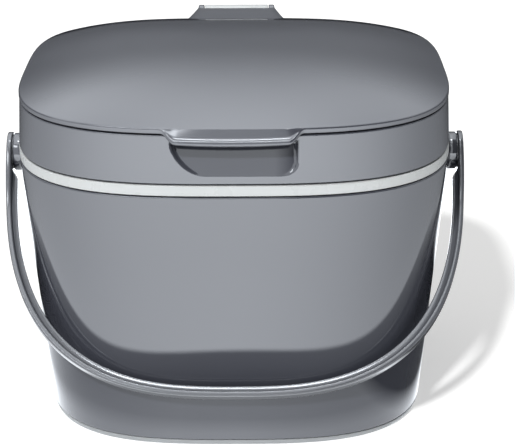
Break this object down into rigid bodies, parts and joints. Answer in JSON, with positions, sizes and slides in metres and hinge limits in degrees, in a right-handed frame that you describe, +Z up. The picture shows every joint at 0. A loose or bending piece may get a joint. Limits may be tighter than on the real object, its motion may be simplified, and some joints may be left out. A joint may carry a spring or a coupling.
{
  "type": "compost caddy",
  "caption": "Tapered worktop compost caddy with a lift-off frame, a domed lid hinged at the back and a bail handle that swings over it.",
  "frame": {"origin": "centre of the caddy's footprint, on the surface it stands on", "axes": "+Z up, -Y towards the front with the lid's lip, +X to the right of someone facing the front"},
  "size_m": [0.208, 0.184, 0.1621],
  "materials": {
    "pail_plastic": "smooth glossy charcoal moulding",
    "foot_elastomer": "soft matt elastomer",
    "pivot_steel": "brushed stainless steel",
    "washer_nylon": "matt black nylon",
    "handle_plastic": "satin charcoal moulding",
    "frame_plastic": "pale grey satin moulding",
    "seal_silicone": "matt silicone",
    "collar_plastic": "smooth glossy charcoal moulding",
    "lid_plastic": "smooth glossy charcoal moulding",
    "liner_plastic": "fine matt moulding"
  },
  "bodies": {
    "pail": {"pail": "pail_plastic", "foot_ring": "foot_elastomer", "pivot_hub_left": "pail_plastic", "pivot_hub_right": "pail_plastic", "pivot_pin_left": "pivot_steel", "pivot_pin_right": "pivot_steel", "pivot_washer_left": "washer_nylon", "pivot_washer_right": "washer_nylon"},
    "handle": {"handle": "handle_plastic"},
    "frame": {"frame_ring": "frame_plastic", "rim_seal": "seal_silicone", "collar": "collar_plastic"},
    "lid": {"lid": "lid_plastic", "lid_liner": "liner_plastic", "lid_seal": "seal_silicone", "hinge_pin": "pivot_steel"}
  },
  "joints": [
    {"name": "handle_swing", "type": "hinge", "parent": "pail", "child": "handle", "pos_m": [0, 0, 0.1105], "axis": [-1, 0, 0], "range_deg": [0, 265.4]},
    {"name": "collar_lift", "type": "slide", "parent": "pail", "child": "frame", "axis": [0, 0, 1], "range_m": [0, 0.08]},
    {"name": "lid_hinge", "type": "hinge", "parent": "frame", "child": "lid", "pos_m": [0, 0.0884, 0.1519], "axis": [-1, 0, 0], "range_deg": [0, 105]}
  ]
}
